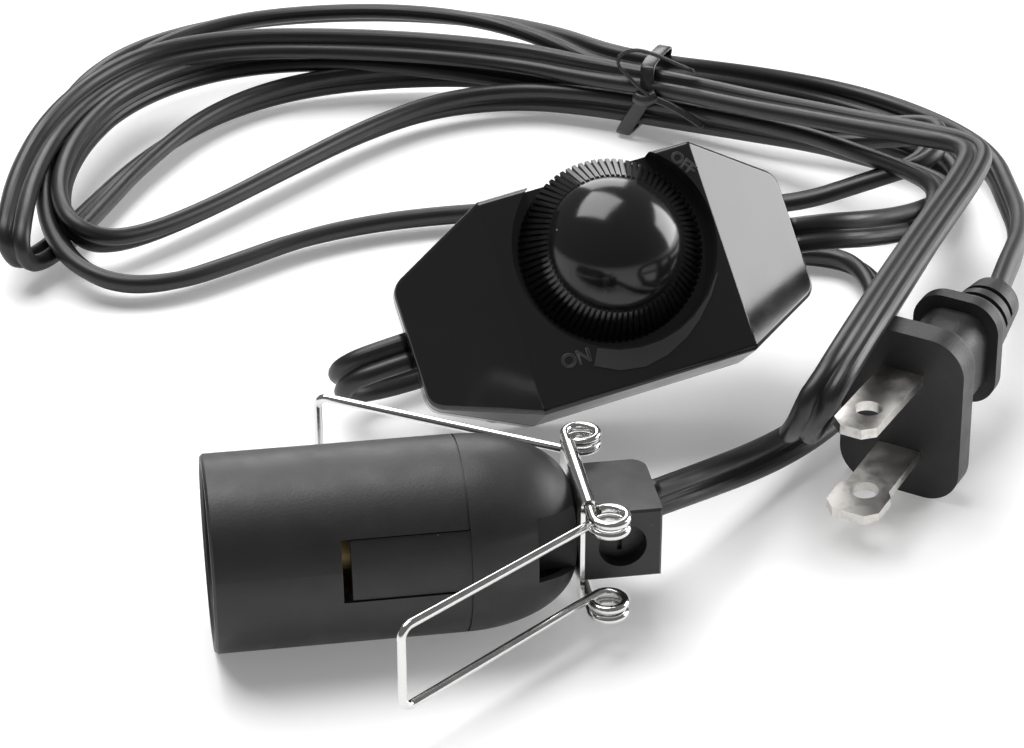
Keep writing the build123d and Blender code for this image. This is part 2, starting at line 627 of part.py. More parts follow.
def make_contact_base():
    """The moulded insulator that carries the lamp's contacts."""
    base = rod(collar_inner - 0.15, BASE_THICKNESS, base_bottom)
    base = chamfer(base.edges().group_by(Axis.Z)[0], 0.8)
    base += rod(sleeve_bore - 0.1, base_top - collar_end, collar_end)
    base += ring(LAMP_BORE_RADIUS + SCREW_SHELL_WALL + 1.3, LAMP_BORE_RADIUS + SCREW_SHELL_WALL, 4.0, base_top)
    for x in (-TERMINAL_REACH, TERMINAL_REACH):
        base -= Pos(x, 0, 0) * rod(TERMINAL_RADIUS + RUNNING_GAP, BASE_THICKNESS + 4, base_bottom)
    return base - block(CONTACT_WIDTH + 0.2, CONTACT_THICKNESS + 0.2, BASE_THICKNESS + 2, base_bottom - 1)


def make_screw_shell():
    """The thin brass shell that takes the lamp's screw cap."""
    outer = LAMP_BORE_RADIUS + SCREW_SHELL_WALL
    shell = ring(outer, LAMP_BORE_RADIUS, SCREW_SHELL_LENGTH, base_top)
    return shell + ring(LAMP_BORE_RADIUS + 0.1, SCREW_SHELL_HOLE, SCREW_SHELL_WALL, base_top)


def make_centre_contact():
    """A brass strip through the base, bent flat under the lamp's tip inside the shell's hole."""
    leg = block(CONTACT_WIDTH, CONTACT_THICKNESS, BASE_THICKNESS + 0.6 + CONTACT_THICKNESS, base_bottom - 0.6)
    return leg + Pos(0, CONTACT_REACH / 2, 0) * block(CONTACT_WIDTH, CONTACT_REACH, CONTACT_THICKNESS, base_top)


def make_terminal_screws():
    screws = []
    for x in (-TERMINAL_REACH, TERMINAL_REACH):
        screw = rod(TERMINAL_RADIUS, BASE_THICKNESS - 0.4, base_bottom)
        screw += rod(TERMINAL_HEAD_RADIUS, TERMINAL_HEAD_HEIGHT, base_bottom - TERMINAL_HEAD_HEIGHT)
        screws.append(Pos(x, 0, 0) * screw)
    return Compound(children=screws)


def make_holder_leads():
    """Two conductors from the cord's end through the neck to the terminal screws."""
    cord_end = GRIP_CORD_LENGTH - GRIP_LENGTH - PLATE_THICKNESS / 2
    leads = []
    for side in (-1, 1):
        core = GRIP_CORD_LIFT + side * CORD_WIDTH / 4
        points = [(GRIP_CORD_SHIFT, core, cord_end),
                  (GRIP_CORD_SHIFT, core, cord_end + LEAD_BEND),
                  (GRIP_LEAD_X, side * GRIP_LEAD_Y, cord_end + 2.6),
                  (GRIP_LEAD_X, side * GRIP_LEAD_Y, NECK_LENGTH + 1.5),
                  (side * TERMINAL_REACH, 0, base_bottom - 4.5),
                  (side * TERMINAL_REACH, 0, base_bottom - TERMINAL_HEAD_HEIGHT)]
        path = FilletPolyline(*points, radius=LEAD_BEND)
        leads.append(sweep(Plane(origin=path @ 0, z_dir=path % 0) * Circle(LEAD_RADIUS), path=path))
    return Compound(children=leads)


def make_clip_plate():
    """A thin plate on the neck, with its upper and lower edges rolled round the wires."""
    plate = Pos(0, 0, -PLATE_THICKNESS / 2) * extrude(Rectangle(PLATE_WIDTH, ROLL_SPACING), PLATE_THICKNESS)
    for side in (-1, 1):
        roll = Rot(Y=90) * rod(ROLL_RADIUS, PLATE_WIDTH, -PLATE_WIDTH / 2)
        plate += Pos(0, side * ROLL_SPACING / 2, roll_level) * roll
    for side in (-1, 1):
        bore = Rot(Y=90) * rod(ROLL_BORE, 2 * PLATE_WIDTH, -PLATE_WIDTH)
        plate -= Pos(0, side * ROLL_SPACING / 2, roll_level) * bore
    return plate - rod(NECK_RADIUS + PLATE_GAP, 4 * PLATE_THICKNESS, -2 * PLATE_THICKNESS)


def coil_centre(side):
    """Where a coil's upright axis stands: side is 1 for the near wing, -1 for the far one."""
    return Vector(side * COIL_REACH, 0, roll_level - COIL_RADIUS)


def coil_point(side, angle):
    """A point on a coil's turn, angle in degrees round from the mouth side towards the wing."""
    a = math.radians(angle)
    return coil_centre(side) + Vector(side * COIL_RADIUS * math.sin(a), 0, COIL_RADIUS * math.cos(a))


def make_cross_wire(level):
    """The wire through one rolled edge, with one turn of each coil at its ends."""
    edges = []
    for side in (-1, 1):
        first, middle, last = [coil_point(side, a) for a in (0, COIL_SWEEP / 2, COIL_SWEEP)]
        edges.append(ThreePointArc(first, middle, last))
    edges.append(Line(coil_point(-1, 0), coil_point(1, 0)))
    path = Wire([e.edge() for e in edges])
    start = path @ 0
    wire = sweep(Plane(origin=start, z_dir=path % 0) * Circle(WIRE_RADIUS), path=path)
    return Pos(0, level, 0) * wire


def make_wing(side, splay, length):
    """One sprung wing: a turn of each of its coils, two legs and the bar that joins them."""
    level = ROLL_SPACING / 2 - COIL_PITCH
    leave = 360 - (90 - splay)
    a = math.radians(splay)
    along = Vector(side * math.sin(a), 0, math.cos(a))
    turn = [coil_point(side, leave - t) for t in (COIL_SWEEP, COIL_SWEEP / 2, 0)]
    up = Vector(0, level, 0)
    tip = turn[2] + along * length
    tip_up = Vector(0, level + WING_FLARE, 0)
    upper = ThreePointArc(*[p + up for p in turn])
    lower = ThreePointArc(*[p - up for p in reversed(turn)])
    legs = FilletPolyline(turn[2] + up, tip + tip_up, tip - tip_up, turn[2] - up, radius=WING_CORNER)
    path = Wire([upper.edge(), *legs.edges(), lower.edge()])
    return sweep(Plane(origin=path @ 0, z_dir=path % 0) * Circle(WIRE_RADIUS), path=path)


def plug_outline(inset, corner):
    """The plug's rounded outline, drawn in across its width and its height."""
    width = PLUG_WIDTH - 2 * inset[0]
    height = PLUG_HEIGHT - 2 * inset[1]
    return fillet(Rectangle(width, height).vertices(), corner)


def blade_form(wide):
    """A flat blade on Z, lying in the plug's width, with its hole and its chamfered tip."""
    half = BLADE_WIDTH / 2
    end = BLADE_WIDE / 2 if wide else half
    flare = BLADE_LENGTH - BLADE_FLARE
    tip = BLADE_LENGTH
    corners = [(-half, -BLADE_ROOT), (half, -BLADE_ROOT), (half, flare - 1.2), (end, flare),
               (end, tip - BLADE_CHAMFER), (end - BLADE_CHAMFER, tip), (-end + BLADE_CHAMFER, tip),
               (-end, tip - BLADE_CHAMFER), (-end, flare), (-half, flare - 1.2)]
    if not wide:
        corners = [c for c in corners if c[1] not in (flare, flare - 1.2)]
    blade = extrude(Plane.XZ * make_face(Polyline(*corners, close=True)), BLADE_THICKNESS / 2, both=True)
    return blade - Pos(0, 0, BLADE_HOLE_REACH) * (Rot(X=90) * rod(BLADE_HOLE_RADIUS, 8, -4))


def blade_place(side):
    """Where a blade stands in the plug's face, each bent outwards a little."""
    bend = UPPER_BEND if side > 0 else LOWER_BEND
    return Pos(0, side * BLADE_SPACING / 2, 0) * Rot(X=-bend)


def make_blade(side):
    return blade_place(side) * blade_form(side < 0)


def make_plug_body():
    """The moulded plug on Z: front flange, waist, rear collar and a slotted strain relief."""
    flange = extrude(plug_outline((0, 0), PLUG_CORNER), -FLANGE_THICKNESS)
    flange = fillet(flange.edges().group_by(Axis.Z)[0], 1.0)
    waist_end = -FLANGE_THICKNESS - WAIST_LENGTH
    waist = extrude(plug_outline(WAIST_INSET, WAIST_CORNER), -WAIST_LENGTH - 1.0)
    waist = Pos(0, 0, -FLANGE_THICKNESS + 0.5) * waist
    collar = Pos(0, 0, waist_end) * extrude(plug_outline(COLLAR_INSET, COLLAR_CORNER), -COLLAR_THICKNESS)
    collar = fillet(collar.edges().group_by(Axis.Z)[0], 1.2)
    relief_start = waist_end - COLLAR_THICKNESS
    taper = Polyline((0, relief_start + 1), (RELIEF_RADIUS, relief_start + 1),
                     (RELIEF_RADIUS, relief_start - 2), (RELIEF_END_RADIUS, relief_start - RELIEF_LENGTH),
                     (0, relief_start - RELIEF_LENGTH), close=True)
    relief = revolve(Plane.XZ * make_face(taper), Axis.Z)
    spine = block(4 * RELIEF_RADIUS, RELIEF_SPINE, RELIEF_LENGTH, relief_start - RELIEF_LENGTH)
    for k in range(RELIEF_SLOTS):
        level = relief_start - RELIEF_PLAIN - RELIEF_PITCH * k
        relief -= ring(RELIEF_RADIUS + 1, RELIEF_CORE, RELIEF_SLOT_WIDTH, level) - spine
    body = flange + waist + collar + relief
    for side in (-1, 1):
        body -= blade_place(side) * block(BLADE_WIDTH, BLADE_THICKNESS, BLADE_ROOT + 1, -BLADE_ROOT)
    return body


plug_back = FLANGE_THICKNESS + WAIST_LENGTH + COLLAR_THICKNESS + RELIEF_LENGTH


def flat_solid(outline, height):
    """A closed curve through the outline's points, raised from the table."""
    return extrude(make_face(Spline(*outline, periodic=True)), height)


def tie_place(shape):
    """Moves a shape drawn with X across the bundle, Y up and Z along it to the hank's neck."""
    heading = math.radians(TIE_HEADING)
    along = (math.cos(heading), math.sin(heading), 0)
    across = (-math.sin(heading), math.cos(heading), 0)
    return Plane(origin=(*TIE_CENTRE, 0), x_dir=across, z_dir=along).location * shape


def tie_section(grow):
    """The tie's rounded outline round the bundle, grown outwards."""
    width, height = TIE_INNER
    outline = fillet(Rectangle(width + 2 * grow, height + 2 * grow).vertices(), TIE_CORNER + grow)
    return Pos(0, TIE_FLOOR + TIE_THICKNESS + height / 2) * outline


def make_hank():
    """The coiled cord's outer shape, gathered in at its neck where the tie goes round."""
    turns = flat_solid(TURNS_OUTLINE, HANK_HEIGHT) - flat_solid(TURNS_HOLE, HANK_HEIGHT)
    crest = Pos(*CREST_CENTRE, 0) * rod(CREST_RADIUS, CREST_HEIGHT)
    hank = turns + flat_solid(FOLD_OUTLINE, HANK_HEIGHT) + (crest & flat_solid(FOLD_OUTLINE, CREST_HEIGHT))
    slab = extrude(Pos(0, HANK_HEIGHT / 2) * Rectangle(3 * TIE_INNER[0], 2 * HANK_HEIGHT), TIE_WIDTH / 2, both=True)
    core = extrude(tie_section(0), TIE_WIDTH / 2, both=True)
    return hank - tie_place(slab - core)


def make_twist_tie():
    """A flat wire tie round the neck, twisted on itself, with a loop and a straight tail."""
    band = extrude(tie_section(TIE_THICKNESS) - tie_section(0), TIE_WIDTH / 2, both=True)
    top = TIE_FLOOR + 2 * TIE_THICKNESS + TIE_INNER[1]
    across = TIE_INNER[0] / 4
    knot = Pos(across, top - 0.4, 0) * (Rot(X=-90) * rod(TIE_KNOT_RADIUS, TIE_KNOT_LENGTH))
    end = Vector(across, top + TIE_KNOT_LENGTH - 1.2, 0)
    loop = Spline(end, end + Vector(1.5, 4.5, -2.5), end + Vector(1.0, 5.0, -6.0), end + Vector(0.2, 0.6, -7.0),
                  end + Vector(-0.4, -0.6, -3.2))
    tail = Line(end, end + Vector(-2.0, 1.0, 9.0))
    tie = band + knot
    for path in (loop, tail):
        tie += sweep(Plane(origin=path @ 0, z_dir=path % 0) * Circle(TIE_WIRE_RADIUS), path=path)
    return tie_place(tie)


def point(place, x, y, z):
    """Where a point of a placed piece's own frame comes to lie."""
    return (place * Pos(x, y, z)).position


def make_cord(name, points):
    """A cord's plain tube along straight runs joined by the largest arcs that the runs allow."""
    points = [Vector(*p) for p in points]
    radii = []
    for before, corner, after in zip(points, points[1:], points[2:]):
        first = corner - before
        second = after - corner
        turn = math.radians(first.get_angle(second))
        radii.append(ARC_SHARE * min(first.length, second.length) / math.tan(turn / 2))
    path = FilletPolyline(*points, radius=radii)
    tube = sweep(Plane(origin=path @ 0, z_dir=path % 0) * Circle(CORD_TUBE_RADIUS), path=path)
    share = tube.volume / (math.pi * CORD_TUBE_RADIUS ** 2 * path.length)
    print(f"{name}: length {path.length:.1f}, volume over section times length {share:.4f}")
    print("  radii", ", ".join(f"{r:.1f}" for r in radii))
    return tube


dimmer = {
    "upper_shell": make_upper_shell(),
    "lower_shell": make_lower_shell(),
    "knob": make_knob(),
    "pot_shaft": make_pot_shaft(),
    "pot_body": make_pot_body(),
    "circuit_board": make_circuit_board(),
    "capacitor": make_capacitor(),
    "triac": make_triac(),
    "heat_sink": make_heat_sink(),
    "choke_core": make_choke(),
    "choke_winding": make_choke_winding(),
    "resistors": make_resistors(),
    "diac": make_diac(),
    "case_screws": make_case_screws(),
    "cord_clamps": make_cord_clamps(),
    "lamp_cord_end": make_cord_end(-1),
    "supply_cord_end": make_cord_end(1),
    "board_leads": make_leads(),
}
holder = {
    "holder_sleeve": make_sleeve(),
    "holder_rear_shell": make_rear_shell(),
    "cord_grip": make_cord_grip(),
    "grip_screw": make_grip_screw(),
    "grip_cord_end": make_grip_cord(),
    "contact_base": make_contact_base(),
    "screw_shell": make_screw_shell(),
    "centre_contact": make_centre_contact(),
    "terminal_screws": make_terminal_screws(),
    "holder_leads": make_holder_leads(),
    "clip_plate": make_clip_plate(),
    "upper_cross_wire": make_cross_wire(ROLL_SPACING / 2),
    "lower_cross_wire": make_cross_wire(-ROLL_SPACING / 2),
    "near_wing": make_wing(1, NEAR_SPLAY, NEAR_LENGTH),
    "far_wing": make_wing(-1, FAR_SPLAY, FAR_LENGTH),
}
plug = {
    "plug_body": make_plug_body(),
    "upper_blade": make_blade(1),
    "lower_blade": make_blade(-1),
}

lean = Rot(X=LEAN_BACK) * Rot(Y=LEAN_SIDE)
leaned = [(lean * dimmer[name]).bounding_box() for name in ("upper_shell", "lower_shell", "knob")]
lowest = [min(getattr(box.min, axis) for box in leaned) for axis in "XYZ"]
highest = [max(getattr(box.max, axis) for box in leaned) for axis in "XYZ"]
dimmer_place = Pos(-(lowest[0] + highest[0]) / 2, -(lowest[1] + highest[1]) / 2, -lowest[2]) * lean

holder_turn = math.radians(HOLDER_HEADING)
holder_place = Plane(origin=(*HOLDER_CENTRE, SLEEVE_RADIUS), x_dir=(-math.sin(holder_turn), math.cos(holder_turn), 0),
                     z_dir=(math.cos(holder_turn), math.sin(holder_turn), 0)).location

plug_turn = math.radians(PLUG_HEADING)
plug_dip = math.radians(PLUG_PITCH)
plug_axis = (math.cos(plug_dip) * math.cos(plug_turn), math.cos(plug_dip) * math.sin(plug_turn), -math.sin(plug_dip))
plug_tilt = Plane(origin=(*PLUG_CENTRE, 0), x_dir=(-math.sin(plug_turn), math.cos(plug_turn), 0),
                  z_dir=plug_axis).location
plug_place = Pos(0, 0, -(plug_tilt * plug["plug_body"]).bounding_box().min.Z) * plug_tilt

lamp_exit = point(dimmer_place, -half_length, 0, CORD_EXIT_LEVEL)
lamp_out = point(dimmer_place, -half_length - LAMP_START, 0, CORD_EXIT_LEVEL)
supply_exit = point(dimmer_place, half_length, 0, CORD_EXIT_LEVEL)
supply_out = point(dimmer_place, half_length + TAIL_START, 0, CORD_EXIT_LEVEL)
grip_back = -PLATE_THICKNESS / 2 - GRIP_LENGTH
grip_exit = point(holder_place, GRIP_CORD_SHIFT, GRIP_CORD_LIFT, grip_back)
grip_out = point(holder_place, GRIP_CORD_SHIFT, GRIP_CORD_LIFT, grip_back - LAMP_END)
relief_exit = point(plug_place, 0, 0, -plug_back)
relief_out = point(plug_place, 0, 0, -plug_back - PLUG_START)

nodes = {name: dimmer_place * shape for name, shape in dimmer.items()}
nodes.update({name: holder_place * shape for name, shape in holder.items()})
nodes.update({name: plug_place * shape for name, shape in plug.items()})
nodes["lamp_cord"] = make_cord("lamp_cord", [lamp_exit, lamp_out, *LAMP_ROUTE, grip_out, grip_exit])
nodes["supply_tail"] = make_cord("supply_tail", [supply_exit, supply_out, *TAIL_ROUTE])
nodes["near_strand"] = make_cord("near_strand", NEAR_ROUTE)
nodes["crossing_loop"] = make_cord("crossing_loop", CROSSING_ROUTE)
nodes["plug_lead"] = make_cord("plug_lead", [relief_exit, relief_out, *PLUG_ROUTE])
nodes["hank"] = make_hank()
nodes["twist_tie"] = make_twist_tie()

os.makedirs("parts", exist_ok=True)
for name, shape in nodes.items():
    export_step(shape, f"parts/{name}.step")
for name, place in (("dimmer", dimmer_place), ("holder", holder_place), ("plug", plug_place)):
    print(name, "origin", place.position, "z axis", Plane(place).z_dir)
print("knob", point(dimmer_place, KNOB_SHIFT, KNOB_OFFSET, knob_base))
print("coils", [point(holder_place, *coil_centre(side)) for side in (1, -1)])
bore_levels = (base_top + SCREW_SHELL_WALL, base_top + SCREW_SHELL_LENGTH)
bore_ends = [point(holder_place, 0, 0, level) for level in bore_levels]
print("lamp bore", bore_ends)
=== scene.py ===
import json
import math

import bmesh
import bpy
from mathutils import Matrix, Vector


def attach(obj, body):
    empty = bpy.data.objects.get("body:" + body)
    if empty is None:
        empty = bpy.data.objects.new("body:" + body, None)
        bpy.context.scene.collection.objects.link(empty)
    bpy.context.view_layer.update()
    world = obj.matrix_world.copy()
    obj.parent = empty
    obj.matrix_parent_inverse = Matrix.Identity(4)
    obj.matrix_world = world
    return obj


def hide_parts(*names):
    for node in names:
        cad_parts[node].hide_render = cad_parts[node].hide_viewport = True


bl_info = {
    "name": "Inline cord dimmer",
    "version": (1, 0, 0),
    "blender": (4, 5, 0),
    "location": "3D View > Sidebar > Cord Dimmer",
    "description": "Dresses a rotary inline dimmer, its lampholder, its plug and its flat twin cord",
    "category": "Add Mesh",
}

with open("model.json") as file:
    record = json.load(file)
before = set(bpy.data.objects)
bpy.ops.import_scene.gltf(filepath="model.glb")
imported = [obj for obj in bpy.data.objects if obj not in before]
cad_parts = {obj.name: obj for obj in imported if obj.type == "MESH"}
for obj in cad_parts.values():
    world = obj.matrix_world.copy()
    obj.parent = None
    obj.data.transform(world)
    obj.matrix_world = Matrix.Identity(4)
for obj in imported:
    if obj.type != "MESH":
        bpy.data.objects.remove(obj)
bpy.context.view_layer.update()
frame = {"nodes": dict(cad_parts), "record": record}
MM = 0.001

# The lamp cord, from its block behind the lampholder to the dimmer's left end. Each row is a point of
# the cord's line in millimetres and the angle of its broad side: 0 lies flat, 90 stands on edge.
LAMP_ROUTE = [
    (-20.2, -43.4, 13.45, 90), (-14.1, -41.8, 12.6, 88), (-6.7, -38.3, 10.4, 84), (1.8, -34.1, 7.8, 78),
    (10.5, -29.8, 5.6, 70), (19.2, -25.4, 4.2, 62), (28.2, -20.3, 3.4, 55), (37.5, -12.9, 3, 50),
    (46.5, -3.8, 2.8, 45), (53.7, 7, 2.6, 40), (56.3, 17.6, 2.5, 40), (50.9, 23.8, 2.5, 35),
    (41, 28.6, 2.3, 20), (26, 28.9, 2.3, 8), (10, 26.4, 2.4, 0), (-6, 22.8, 2.6, -14),
    (-17.9, 19.4, 3.2, -32), (-28, 17.6, 4, -47), (-35.2, 16.6, 5.2, -52), (-38.2, 14.2, 7.8, -76),
    (-37.2, 11.6, 10.8, -120), (-33.2, 9.9, 12.4, -129), (-29, 9.1, 13.2, -129),
]

# The supply cord, from the dimmer's right end, through the tied hank and over the plug, to the plug.
SUPPLY_ROUTE = [
    (28.9, -3.1, 23.1, 50), (34.4, -4.9, 23.4, 50), (41.5, -3.8, 21.5, 60), (50.6, 1.4, 17.5, 70),
    (60.6, 9.1, 12.6, 78), (70.2, 15.7, 9, 80), (79.5, 22.5, 6, 84), (86.8, 31.4, 4.2, 90),
    (89, 39.5, 3.8, 90), (87, 49, 3.8, 90), (82, 58.5, 3.8, 90), (75, 68, 3.8, 90),
    (67.6, 76.4, 4.2, 90), (60.4, 83.2, 4.9, 90), (53.6, 93, 4.9, 90), (44, 104, 4.6, 84),
    (29, 115, 4.2, 76), (8, 122.5, 3.6, 66), (-12, 119.5, 3.2, 56), (-31.1, 106.4, 3, 30),
    (-45, 93.4, 3, 15), (-54.8, 83.7, 3.4, 5), (-62.4, 78.1, 4.2, 0), (-64.6, 77.1, 8.4, 0),
    (-63.1, 80, 11.4, 8), (-56.6, 92.4, 12.4, 25), (-46, 107.5, 12.8, 40), (-33.2, 119.3, 13, 48),
    (-19.6, 126.1, 13, 52), (-4.4, 125.3, 12.8, 56), (11.6, 119.1, 12, 60), (28.4, 109.3, 11.2, 58),
    (40.7, 99, 10.6, 52), (47.8, 88.9, 10.4, 40), (54.6, 79.1, 10.8, 24), (58, 69, 12.2, 20),
    (61.5, 58, 13.6, 16), (65.6, 46.7, 15.2, 12), (69.2, 35.7, 16.8, 8), (72.7, 25.8, 18.4, 4),
    (75.4, 17.8, 19.6, 0), (74.4, 11.2, 20.6, 0), (65.4, 2.5, 21.8, 0), (53.6, -7.5, 23.4, 0),
    (39.7, -19.4, 25.4, 0), (26.2, -31.1, 27.2, 0), (13.5, -41.9, 28.2, 0), (4.9, -48, 26.6, 0),
    (2.5, -46.7, 21, 0), (5.7, -40.4, 14.5, 180), (11.6, -34, 10.8, 180), (21.3, -25.9, 10.2, 180),
    (32.5, -17.1, 11.2, 180), (43.6, -9, 12.6, 180), (54.7, -0.6, 13.6, 180), (65.6, 8, 13.8, 184),
    (71.6, 15.6, 13, 190), (72.3, 24.5, 12, 200), (70.3, 35, 10.8, 216), (67.6, 48, 9.4, 234),
    (62.2, 61.4, 7.6, 252), (55.7, 77.2, 5.4, 268), (47.6, 88.4, 5, 268), (38, 97.2, 4.6, 256),
    (24, 101, 4.4, 240), (8, 98, 4.2, 230), (-10, 91, 4, 224), (-28, 83.6, 3.8, 220),
    (-42, 78.8, 4.2, 222), (-50, 77.4, 5.6, 232), (-53.4, 80.6, 7.8, 250), (-52.4, 88, 8.8, 262),
    (-47.6, 98, 9.4, 266), (-39.5, 109, 9.6, 266), (-28.5, 119, 9.6, 266), (-14, 125.4, 9.2, 264),
    (2, 126, 8.6, 262), (18, 119.5, 8, 262), (32, 109, 7.2, 264), (43, 99, 6.4, 268),
    (50.3, 90.8, 5.2, 270), (57.1, 81, 5, 270), (63, 71.6, 5, 264), (69, 62, 5.4, 256),
    (76, 53.6, 6.4, 246), (82, 47, 7.8, 236), (85.4, 41.4, 9.8, 226), (84.6, 36, 11.6, 212),
    (77.4, 27.3, 11.8, 204), (67.6, 30.8, 8.8, 202), (56.4, 36, 4.8, 200), (46, 46, 3, 204),
    (33, 52.4, 2.8, 210), (20, 58.6, 2.8, 214), (7, 64, 2.8, 214), (-6, 67.4, 2.8, 212),
    (-19, 68, 2.8, 210), (-32, 65.4, 2.8, 208), (-43, 63.6, 2.9, 208), (-51.6, 66.2, 3.4, 212),
    (-56, 73.6, 4.8, 224), (-55.6, 84.6, 6.6, 240), (-50.6, 98.6, 8.6, 250), (-41.5, 113.8, 10.4, 230),
    (-30.6, 125.4, 11.4, 200), (-17.8, 133.9, 11.8, 170), (-1.7, 137, 11.8, 152), (13.9, 134.3, 11.6, 147),
    (29.3, 126.8, 11.6, 147), (41.9, 116.1, 11.4, 158), (49.6, 103.3, 11, 188), (53, 92.1, 10.6, 220),
    (60.2, 83.1, 10.4, 208), (69, 78.6, 9, 212), (79, 74, 6.8, 222), (88, 66.6, 5.2, 236),
    (94, 56, 4.4, 250), (96.2, 44, 4.4, 260), (94.6, 32, 5, 262), (86.8, 17.9, 6.6, 262),
    (80, 6.6, 8.8, 264), (71.6, -3.8, 11.2, 268), (60.5, -14.6, 13.8, 270), (52.7, -22.6, 15.2, 270),
]

# The twist tie: its band round the hank, its loop with the straight tail, its flat strip and its knot.
# Each row is a point of a line in millimetres.
TIE_BAND = [
    (52.6, 76.5, 9.5), (51.8, 77.8, 7), (50.8, 79.5, 3.5), (50.2, 80.9, 0.9), (51.9, 82.1, 0.5),
    (58.4, 86.7, 0.5), (60.2, 87.6, 0.9), (61.1, 86.7, 7), (61.8, 85.3, 13.4), (60.4, 83.8, 14.5),
    (54.2, 78.8, 14.5), (52.8, 77.2, 13.4), (52.6, 76.5, 9.5),
]
TIE_LOOP = [
    (52.5, 75.2, 9.7), (51.5, 77, 10.6), (50.6, 79.3, 12.2), (49.5, 81.6, 14), (49.8, 81.5, 15.9),
    (51.5, 79.1, 17.6), (53.6, 76.2, 17.3), (55.7, 73.1, 16.4), (57.9, 69.9, 15.5),
]
TIE_STRIP = [
    (51.4, 76.8, 10.2), (52.4, 75.1, 9.8), (54.3, 71.9, 9.2), (55.7, 68.8, 8.3), (57.7, 65.9, 6.7),
]
TIE_KNOT = [
    (51, 77.8, 9.2), (51.3, 76.2, 9), (52.2, 75, 9.5), (53.3, 74.5, 10.3),
]

# Directions of the tie's broad sides: along the hank, along the camera's sight and upwards.
HANK_LINE = (0.574, -0.819, 0.0)
SIGHT_LINE = (0.42, 0.76, -0.49)
RISING_LINE = (0.24, 0.43, 0.87)

# Each part of the tie: its name, its line, the direction of its broad side, its width and its thickness
# in millimetres.
TIE_PARTS = [
    ("tie_band", TIE_BAND, HANK_LINE, 2.5, 0.5),
    ("tie_loop", TIE_LOOP, SIGHT_LINE, 2.0, 0.55),
    ("tie_strip", TIE_STRIP, RISING_LINE, 1.3, 0.5),
    ("tie_knot", TIE_KNOT, RISING_LINE, 2.2, 1.5),
]

# The dimmer's frame in metres, then its crown above the parting plane and the knob's centre on the crown
# in millimetres.
DIMMER_ORIGIN = (-0.00039, 0.00203, 0.01895)
DIMMER_AXES = ((0.965, -0.2026, 0.1664), (0.0, 0.6347, 0.7727), (-0.262, -0.7457, 0.6125))
CROWN_HEIGHT = 12.8
KNOB_CENTRE = (1.0, 4.3)

# The raised words on the crown: name, letters, height, place in millimetres and turn in degrees.
WORDS = [
    ("word_on", "ON", 2.8, (-9.5, -10.6), 0),
    ("word_off", "OFF", 2.3, (13.7, 12.5), -57),
]
MARK_TUBE = 0.11

# The crescent beside the knob's recess: its outer edge as degrees and reach from the knob's centre, its
# inner radius, and its underside and top against the crown in millimetres.
CRESCENT = [
    (-118, 17.8), (-106, 18.1), (-94, 18.0), (-82, 17.4),
    (-70, 16.7), (-59, 16.1), (-45, 15.6), (-32, 15.4),
]
CRESCENT_INNER = 15.2
CRESCENT_SINK = -0.05
CRESCENT_RISE = 0.12

# The cord's ribs: how many would go round it, the share of the way round that has them, and their depth
# in metres.
RIBS_ROUND = 30
RIBBED_SHARE = 0.5
RIB_DEPTH = 0.00003

# The rise per length above which a cord counts as steep.
STEEP = 0.85

# The steps between two points of a cord's line and of a tie's line, and round each conductor's skin.
CORD_STEPS = 10
TIE_STEPS = 8
ARC_STEPS = 12

# The dust's colour, the noise level above which it gathers, and the table's glow towards the camera.
DUST_COLOUR = (0.3, 0.3, 0.3)
DUST_LEVEL = 0.6
TABLE_GLOW = 0.22

# The camera's place in metres and its direction.
CAMERA_PLACE = (-0.2010, -0.3322, 0.2254)
CAMERA_AIM = (0.4220, 0.7612, -0.4924)


class CordSizes(bpy.types.PropertyGroup):
    width: bpy.props.FloatProperty(
        name="Width", description="Broad side of the flat cord",
        default=0.0056, min=0.002, max=0.02, unit="LENGTH")
    thickness: bpy.props.FloatProperty(
        name="Thickness", description="Narrow side of the flat cord",
        default=0.0028, min=0.001, max=0.01, unit="LENGTH")
    groove_angle: bpy.props.FloatProperty(
        name="Groove angle", description="Where each conductor's round skin ends",
        default=math.radians(160), subtype="ANGLE")
    lamp_length: bpy.props.FloatProperty(
        name="Lamp cord", description="From the lampholder to the dimmer",
        default=0.215, min=0.1, max=2, unit="LENGTH")
    supply_length: bpy.props.FloatProperty(
        name="Supply cord", description="From the dimmer to the plug",
        default=1.6, min=0.5, max=3, unit="LENGTH")
    skin: bpy.props.FloatVectorProperty(
        name="Skin", description="Colour of the insulation", subtype="COLOR",
        default=(0.013, 0.013, 0.014), size=3, min=0, max=1)


class StageSizes(bpy.types.PropertyGroup):
    floor_colour: bpy.props.FloatVectorProperty(
        name="Floor", description="Colour of the table", subtype="COLOR",
        default=(0.86, 0.86, 0.86), size=3, min=0, max=1)
    lens: bpy.props.FloatProperty(
        name="Lens", description="Focal length of the camera",
        default=105.5, min=20, max=300, unit="CAMERA")
    key_power: bpy.props.FloatProperty(
        name="Key light", description="Power of the large light overhead",
        default=9.0, min=0, max=200, unit="POWER")


def inputs(node, **values):
    """Sets a node's sockets by name, with _ for a space."""
    for name, value in values.items():
        node.inputs[name.replace("_", " ")].default_value = value
    return node


def sum_node(nodes, operation, second=None):
    """A node that does one sum, with its second value where it is fixed."""
    node = nodes.new("ShaderNodeMath")
    node.operation = operation
    if second is not None:
        node.inputs[1].default_value = second
    return node


def new_group(name, takes, gives):
    """A shader node group with the named sockets, and its two end nodes."""
    group = bpy.data.node_groups.new(name, "ShaderNodeTree")
    for socket, kind, value in takes:
        made = group.interface.new_socket(socket, in_out="INPUT", socket_type=kind)
        if value is not None:
            made.default_value = value
    for socket, kind in gives:
        group.interface.new_socket(socket, in_out="OUTPUT", socket_type=kind)
    return group, group.nodes.new("NodeGroupInput"), group.nodes.new("NodeGroupOutput")


